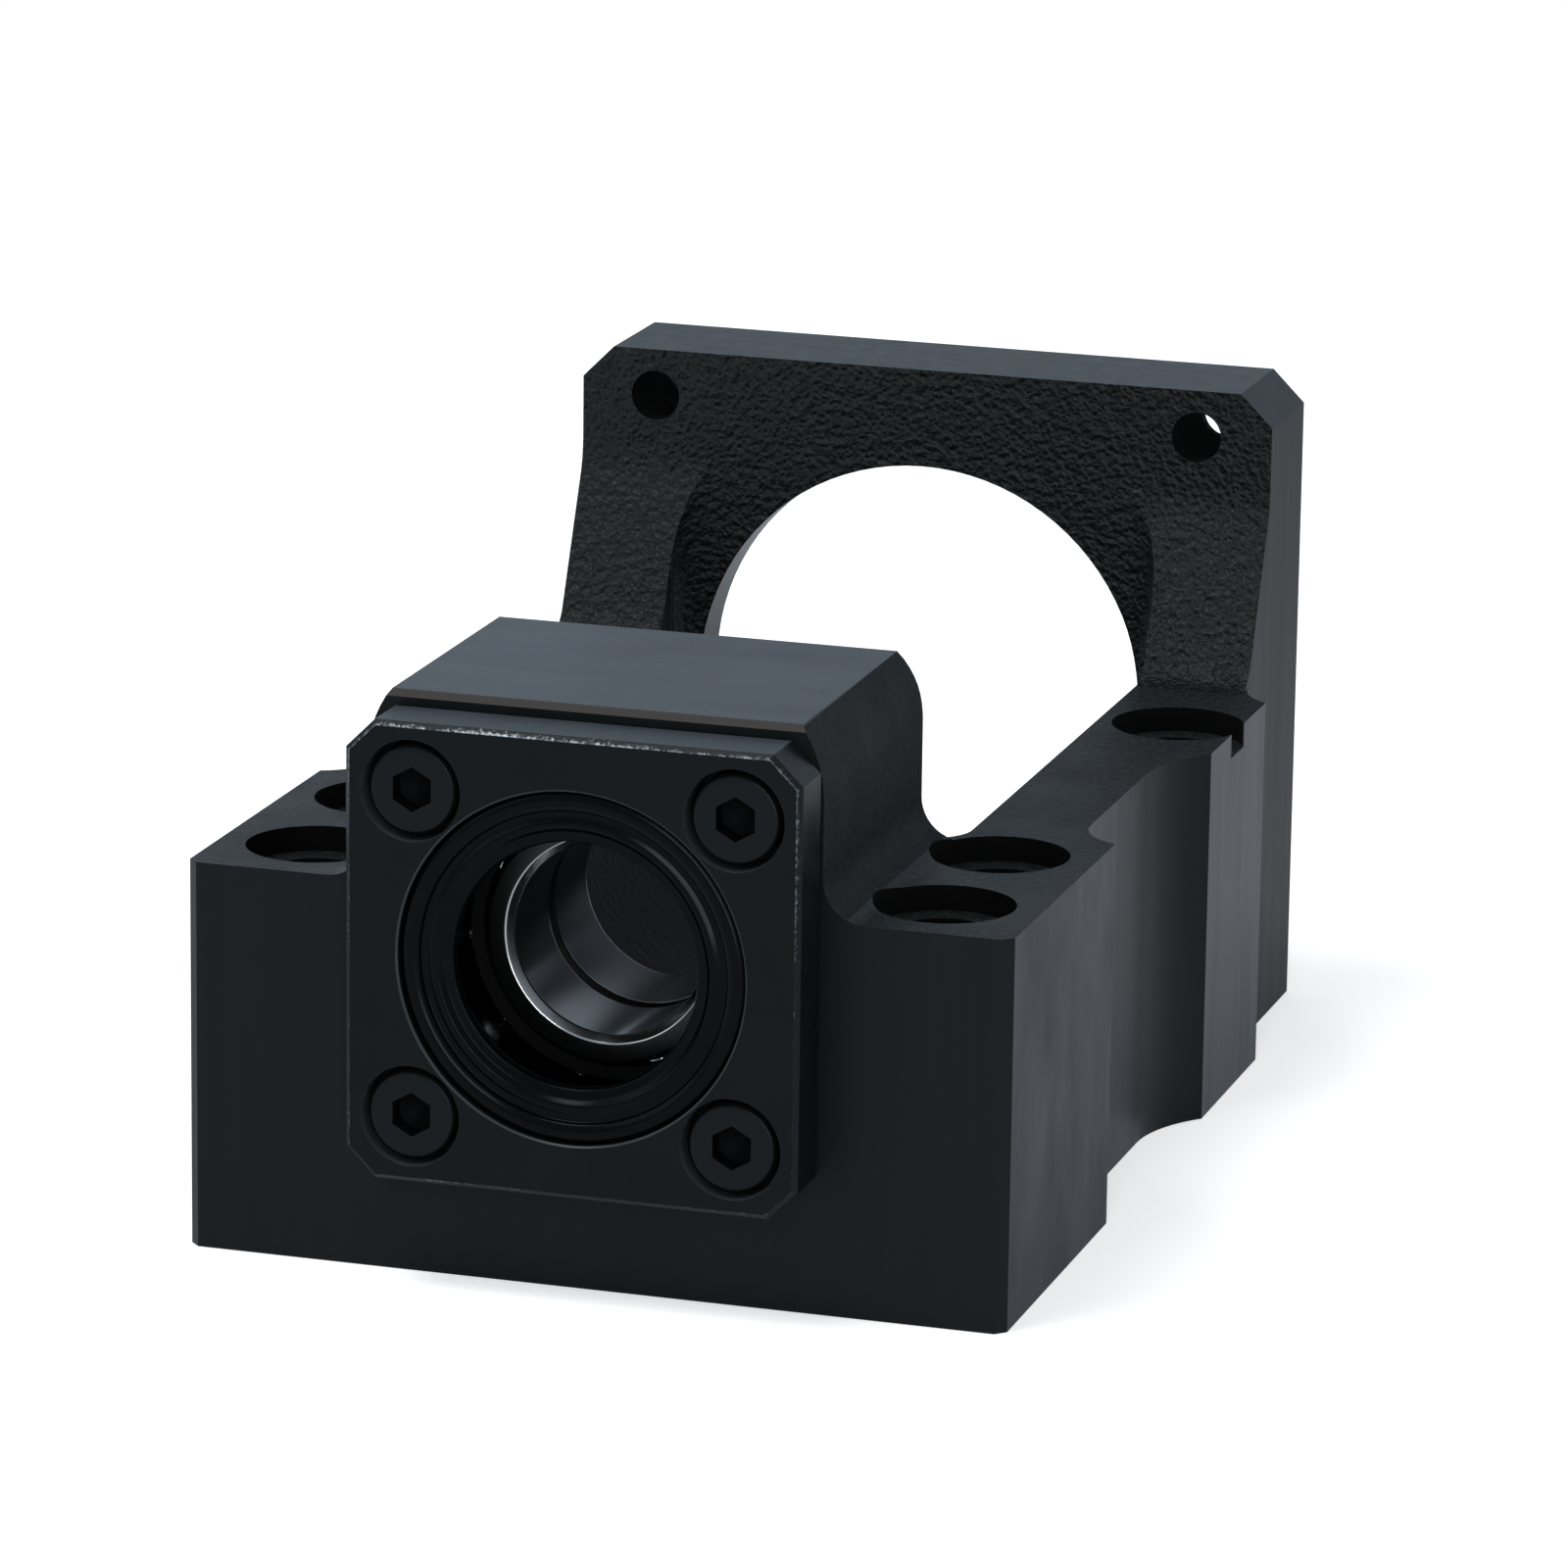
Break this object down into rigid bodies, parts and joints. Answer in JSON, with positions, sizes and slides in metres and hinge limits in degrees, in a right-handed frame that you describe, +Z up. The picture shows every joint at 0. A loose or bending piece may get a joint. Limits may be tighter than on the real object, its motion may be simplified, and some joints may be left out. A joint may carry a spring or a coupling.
{
  "type": "stepper motor mount",
  "caption": "Cast motor bracket for a ball screw's fixed end: an upright motor plate, an open coupling pocket and a bearing block with a covered, sealed bearing pair.",
  "frame": {"origin": "on the base plane, under the middle of the whole mount", "axes": "+X across, +Y along the screw from the bearing end towards the motor face, +Z up from the base"},
  "size_m": [0.065, 0.1024, 0.054],
  "materials": {
    "black_cast_iron": "black oxide over cast skin, with milled faces",
    "black_steel": "black oxide, satin, worn at the edges",
    "black_screw_steel": "black oxide",
    "seal_rubber": "moulded, glossy",
    "bearing_steel": "ground and polished",
    "cage_polyamide": "moulded in black",
    "ball_steel": "lapped mirror"
  },
  "bodies": {
    "frame": {"housing": "black_cast_iron", "bearing_cover": "black_steel", "cover_screws": "black_screw_steel", "front_seal": "seal_rubber", "rear_seal": "seal_rubber", "front_outer_ring": "bearing_steel", "rear_outer_ring": "bearing_steel"},
    "front_race": {"front_inner_ring": "bearing_steel"},
    "front_ball_set": {"front_cage": "cage_polyamide", "front_ball_01": "ball_steel", "front_ball_02": "ball_steel", "front_ball_03": "ball_steel", "front_ball_04": "ball_steel", "front_ball_05": "ball_steel", "front_ball_06": "ball_steel", "front_ball_07": "ball_steel", "front_ball_08": "ball_steel", "front_ball_09": "ball_steel", "front_ball_10": "ball_steel", "front_ball_11": "ball_steel"},
    "rear_race": {"rear_inner_ring": "bearing_steel"},
    "rear_ball_set": {"rear_cage": "cage_polyamide", "rear_ball_01": "ball_steel", "rear_ball_02": "ball_steel", "rear_ball_03": "ball_steel", "rear_ball_04": "ball_steel", "rear_ball_05": "ball_steel", "rear_ball_06": "ball_steel", "rear_ball_07": "ball_steel", "rear_ball_08": "ball_steel", "rear_ball_09": "ball_steel", "rear_ball_10": "ball_steel", "rear_ball_11": "ball_steel"}
  },
  "joints": [
    {"name": "front_race_spin", "type": "hinge", "parent": "frame", "child": "front_race", "pos_m": [0, -0.03795, 0.0265], "axis": [0, 1, 0], "continuous": true},
    {"name": "front_ball_orbit", "type": "hinge", "parent": "frame", "child": "front_ball_set", "pos_m": [0, -0.03795, 0.0265], "axis": [0, 1, 0], "continuous": true},
    {"name": "rear_race_spin", "type": "hinge", "parent": "frame", "child": "rear_race", "pos_m": [0, -0.02895, 0.0265], "axis": [0, 1, 0], "continuous": true},
    {"name": "rear_ball_orbit", "type": "hinge", "parent": "frame", "child": "rear_ball_set", "pos_m": [0, -0.02895, 0.0265], "axis": [0, 1, 0], "continuous": true}
  ],
  "couplings": [
    {"joint": "front_ball_orbit", "follows": "front_race_spin", "ratio": 0.411},
    {"joint": "rear_ball_orbit", "follows": "rear_race_spin", "ratio": 0.411}
  ]
}
